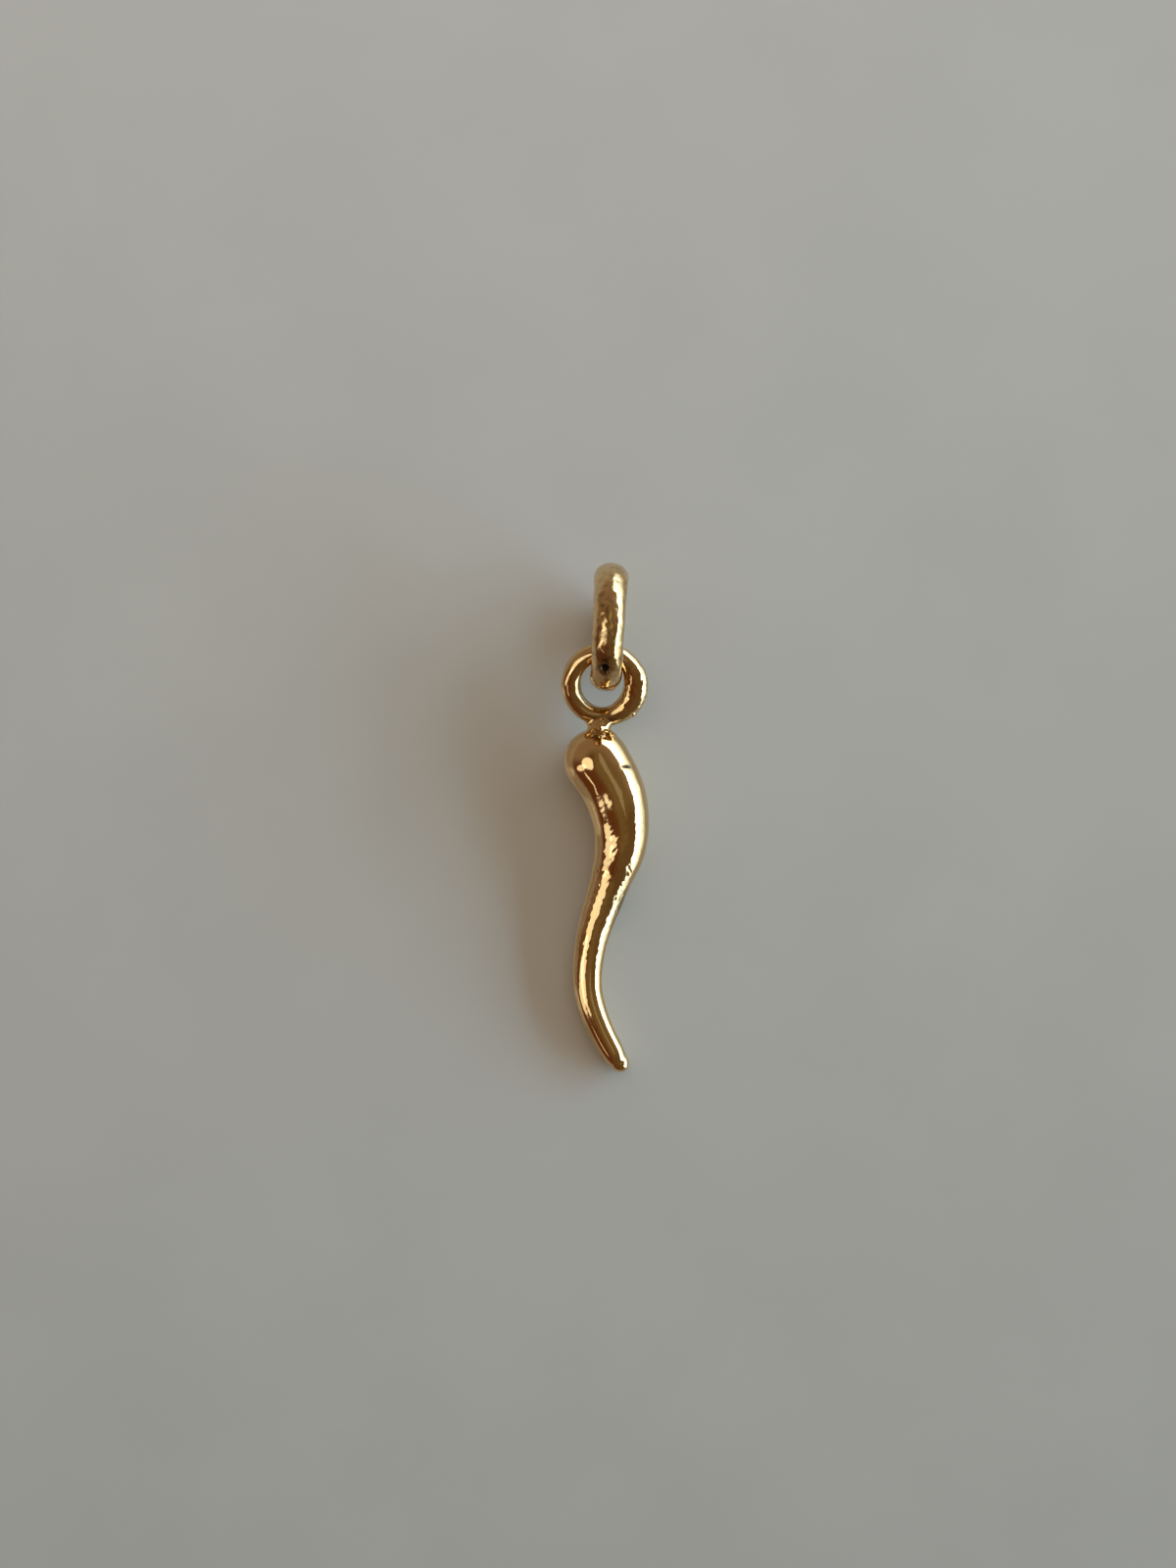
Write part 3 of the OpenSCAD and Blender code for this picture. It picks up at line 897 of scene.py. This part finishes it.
class CHARM_OT_add_solder(bpy.types.Operator):
    """Add the soldered neck between the head and the eye, and its two beads of solder"""
    bl_idname = "charm.add_solder"
    bl_label = "Add Solder"
    bl_options = {"REGISTER", "UNDO"}

    def execute(self, context):
        charm = context.scene.charm
        parts = eye_parts(charm.horn, charm.eye)
        shift = to_box(charm.horn, charm.eye)
        start = parts["foot"] + shift - np.array([NECK_LEFT, 0, 0])
        end = parts["head"] + shift + np.array([0, NECK_ROOT * charm.horn.thick / 2, 0])
        rows = np.concatenate([NECK_TABLE[:1], NECK_TABLE, NECK_TABLE[-1:]])
        along, wide, deep = smooth_rows(rows, np.linspace(0, len(NECK_TABLE) - 1, NECK_STEPS)).T
        middle = start + along[:, None] * (end - start)
        left = np.broadcast_to([-1.0, 0, 0], middle.shape)
        half = charm.eye.neck_wide / 2
        grid = oval_tube(middle, left, np.broadcast_to(UP, middle.shape), wide * half,
                         deep * half, NECK_SIDES)
        grid = raised(grid, middle, NECK_HEIGHT * waves(grid, NECK_SKIN))
        piece = grid_mesh("solder_neck", grid, middle[[0, -1]])
        # The corner at the head is darkened: painted shade
        lay_darkening(piece, CORNER_SHADE * soft_at(grid, NECK_CORNER))
        metal = eye_gold(charm.finish)
        dress(piece, metal, "horn_with_eye")
        for name, place, size in BEADS:
            grid, line, poles = bead_grid(np.array(place) * MM, np.array(size) * MM)
            grid = raised(grid, line, BEAD_HEIGHT * waves(grid, BEAD_SKIN))
            bead = grid_mesh(f"solder_bead_{name}", grid, poles)
            lay_darkening(bead, np.zeros(grid.shape[:2]))
            dress(bead, metal, "horn_with_eye")
        return {"FINISHED"}


class CHARM_OT_add_bail(bpy.types.Operator):
    """Add the thick cast bail ring, with its dents and pits"""
    bl_idname = "charm.add_bail"
    bl_label = "Add Bail Ring"
    bl_options = {"REGISTER", "UNDO"}

    def execute(self, context):
        charm = context.scene.charm
        middle, far, axis = bail_parts(charm.horn, charm.eye, charm.bail)
        middle = middle + to_box(charm.horn, charm.eye)
        grid, line = bail_grid(charm.bail, middle, far, axis)
        # Dents, and darkening: smudges on some marks, painted reflection and shade on others
        depth, darkening = marks_at(grid, BAIL_MARKS)
        height = (charm.bail.ripple * waves(grid, BAIL_BROAD)
                  + charm.bail.skin * waves(grid, BAIL_FINE))
        grid = raised(grid, line, height * calm(grid) - depth)
        piece = grid_mesh("bail_loop", grid)
        lay_darkening(piece, darkening)
        dress(piece, bail_gold(charm.finish), "bail_ring")
        return {"FINISHED"}


# Studio

def floor_material(studio):
    """Plain pale gloss: two close tones of the floor's colour, and a gloss a little uneven. It
    is softer and fainter where the camera sees it than where the gold mirrors it."""
    material = bpy.data.materials.new("Pale Floor")
    material.use_nodes = True
    tree = material.node_tree
    glossy = tree.nodes["Principled BSDF"]
    matt = tree.nodes.new("ShaderNodeBsdfPrincipled")
    matt.inputs["Specular IOR Level"].default_value = MATT_LEVEL
    soft = spread(tree, noise(tree, in_mm(tree), FLOOR_TONES), *FLOOR_FADE)
    pale = [*studio.floor, 1]
    dim = [FLOOR_DIM * c for c in studio.floor] + [1]
    tone = blend_colour(tree, soft, pale, dim)
    rough = spread(tree, noise(tree, in_mm(tree), FLOOR_SMUDGES), *FLOOR_FADE,
                   studio.floor_rough, studio.floor_rough + FLOOR_ROUGHER)
    for shader, roughness in ((glossy, rough), (matt, sums(tree, "ADD", rough, MATT_ROUGHER))):
        shader.inputs["IOR"].default_value = FLOOR_IOR
        link(tree, tone, shader.inputs["Base Color"])
        link(tree, roughness, shader.inputs["Roughness"])
    both = tree.nodes.new("ShaderNodeMixShader")
    link(tree, add(tree, "ShaderNodeLightPath").outputs["Is Camera Ray"], both.inputs[0])
    link(tree, glossy.outputs[0], both.inputs[1])
    link(tree, matt.outputs[0], both.inputs[2])
    link(tree, both.outputs[0], tree.nodes["Material Output"].inputs["Surface"])
    return material


def floor_grid():
    """Flat round floor: ring i, side k lies at i's share of the radius and k's share of a turn."""
    turn = np.arange(FLOOR_SIDES) / FLOOR_SIDES * 2 * np.pi
    out = FLOOR_RADIUS * (np.arange(FLOOR_RINGS) + 1) / FLOOR_RINGS
    flat = np.stack([np.cos(turn), np.sin(turn), 0 * turn], 1)
    return out[:, None, None] * flat[None]


def disc_mesh(name, grid, centre):
    """Flat mesh object of rings round a centre, facing up."""
    rings, sides = grid.shape[:2]
    i, k = (a.ravel() for a in np.meshgrid(np.arange(rings - 1), np.arange(sides), indexing="ij"))
    l = (k + 1) % sides
    quads = np.stack([i * sides + k, (i + 1) * sides + k, (i + 1) * sides + l, i * sides + l], 1)
    k, l = np.arange(sides), (np.arange(sides) + 1) % sides
    fan = np.stack([np.full(sides, rings * sides), k, l], 1)
    points = np.concatenate([grid.reshape(-1, 3), centre])
    loops = np.concatenate([quads.ravel(), fan.ravel()])
    starts = np.concatenate([np.arange(len(quads)) * 4, quads.size + np.arange(sides) * 3])
    return make_object(name, points, loops, starts, points[loops, :2])


def softbox(name, azimuth, elevation, half_wide, half_high, brightness, tint, shape, on_floor,
            distance):
    """Rectangular or oval light that faces the charm from an azimuth and elevation, in degrees.

    Seen from the charm it spans half_wide and half_high to either side of its middle, so its
    width is 2 distance tan(half_wide). Its power is pi times its area times its brightness.
    It lights only the floor, or else shows only in gloss.
    """
    data = bpy.data.lights.new(name, "AREA")
    data.shape = shape
    data.size = 2 * distance * math.tan(math.radians(half_wide))
    data.size_y = 2 * distance * math.tan(math.radians(half_high))
    area = data.size * data.size_y * (math.pi / 4 if shape == "ELLIPSE" else 1)
    data.energy = math.pi * area * brightness
    data.color = tint
    light = bpy.data.objects.new(name, data)
    turn, rise = math.radians(azimuth), math.radians(elevation)
    light.location = (distance * math.cos(turn) * math.cos(rise),
                      distance * math.sin(turn) * math.cos(rise), distance * math.sin(rise))
    facing = (Matrix.Rotation(turn + math.pi / 2, 3, "Z")
              @ Matrix.Rotation(math.pi / 2 - rise, 3, "X"))
    light.rotation_euler = facing.to_euler()
    light.visible_glossy = not on_floor
    light.visible_diffuse = on_floor
    bpy.context.scene.collection.objects.link(light)


def room_light(strength):
    """Soft brown room: dark towards -Y, tan towards +Y, and pale where it is seen directly."""
    world = bpy.data.worlds.new("Room")
    world.use_nodes = True
    tree = world.node_tree
    tree.nodes.clear()
    towards = add(tree, "ShaderNodeTexCoord").outputs["Generated"]
    x, y, z = add(tree, "ShaderNodeSeparateXYZ", Vector=towards).outputs
    south = blend_colour(tree, spread(tree, x, *SOUTH_FADE), SOUTH_LEFT, SOUTH_RIGHT)
    far = blend_colour(tree, spread(tree, z, *FAR_FADE), FAR_LOW, FAR_HIGH)
    side = blend_colour(tree, spread(tree, y, *SIDE_FADE), south, far)
    above = blend_colour(tree, spread(tree, x, *ABOVE_FADE), ABOVE_LEFT, ABOVE_RIGHT)
    off_line = sums(tree, "MULTIPLY", sums(tree, "ABSOLUTE", y, 0), OFF_LINE)
    height = sums(tree, "SUBTRACT", z, off_line)
    seen = blend_colour(tree, spread(tree, height, *OVERHEAD_FADE), side, above)
    path = add(tree, "ShaderNodeLightPath").outputs
    shown = blend_colour(tree, path["Is Camera Ray"], seen, ROOM_SEEN)
    shown = blend_colour(tree, path["Is Diffuse Ray"], shown, ROOM_ON_FLOOR)
    ground = add(tree, "ShaderNodeBackground", Color=shown, Strength=strength)
    out = tree.nodes.new("ShaderNodeOutputWorld")
    tree.links.new(ground.outputs[0], out.inputs["Surface"])
    bpy.context.scene.world = world


class CHARM_OT_add_stage(bpy.types.Operator):
    """Add the plain floor, the soft lights and the camera above"""
    bl_idname = "charm.add_stage"
    bl_label = "Add Stage"
    bl_options = {"REGISTER", "UNDO"}

    def execute(self, context):
        studio = context.scene.charm.studio
        drop = FLOOR_DROP * UP
        floor = disc_mesh("floor", floor_grid() - drop, np.zeros((1, 3)) - drop)
        floor.data.materials.append(floor_material(studio))
        for name, azimuth, elevation, wide, high, setting, part, *rest in LIGHTS:
            brightness = part * getattr(studio, setting)
            softbox(name, azimuth, elevation, wide, high, brightness, *rest)
        room_light(studio.room)
        data = bpy.data.cameras.new("camera")
        data.lens = studio.lens
        data.sensor_width = SENSOR
        data.clip_start = NEAREST
        data.clip_end = FARTHEST
        camera = bpy.data.objects.new("camera", data)
        camera.location = (CAMERA_X, CAMERA_Y, studio.lift)
        context.scene.collection.objects.link(camera)
        context.scene.camera = camera
        context.scene.view_settings.view_transform = "Standard"
        return {"FINISHED"}


class CHARM_PT_panel(bpy.types.Panel):
    """Sizes, colours and pieces of the horn charm"""
    bl_idname = "CHARM_PT_panel"
    bl_label = "Horn Charm"
    bl_space_type = "VIEW_3D"
    bl_region_type = "UI"
    bl_category = "Horn Charm"

    def draw(self, context):
        charm = context.scene.charm
        for label, group in (("Horn", charm.horn), ("Eye", charm.eye), ("Bail Ring", charm.bail),
                             ("Gold", charm.finish), ("Studio", charm.studio)):
            box = self.layout.box()
            box.label(text=label)
            for key in group.__annotations__:
                box.prop(group, key)
        for operator in OPERATORS:
            self.layout.operator(operator.bl_idname)


OPERATORS = (CHARM_OT_add_stage, CHARM_OT_add_horn, CHARM_OT_add_eye, CHARM_OT_add_solder,
             CHARM_OT_add_bail)
CLASSES = (HornSizes, EyeSizes, BailSizes, GoldFinish, Studio, CharmSettings, *OPERATORS,
           CHARM_PT_panel)


def register():
    for kind in CLASSES:
        bpy.utils.register_class(kind)
    bpy.types.Scene.charm = bpy.props.PointerProperty(type=CharmSettings)


def unregister():
    del bpy.types.Scene.charm
    for kind in reversed(CLASSES):
        bpy.utils.unregister_class(kind)


def main():
    """Registers the classes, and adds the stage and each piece."""
    register()
    bpy.ops.charm.add_stage()
    bpy.ops.charm.add_horn()
    bpy.ops.charm.add_eye()
    bpy.ops.charm.add_solder()
    bpy.ops.charm.add_bail()


if __name__ == "__main__":
    main()
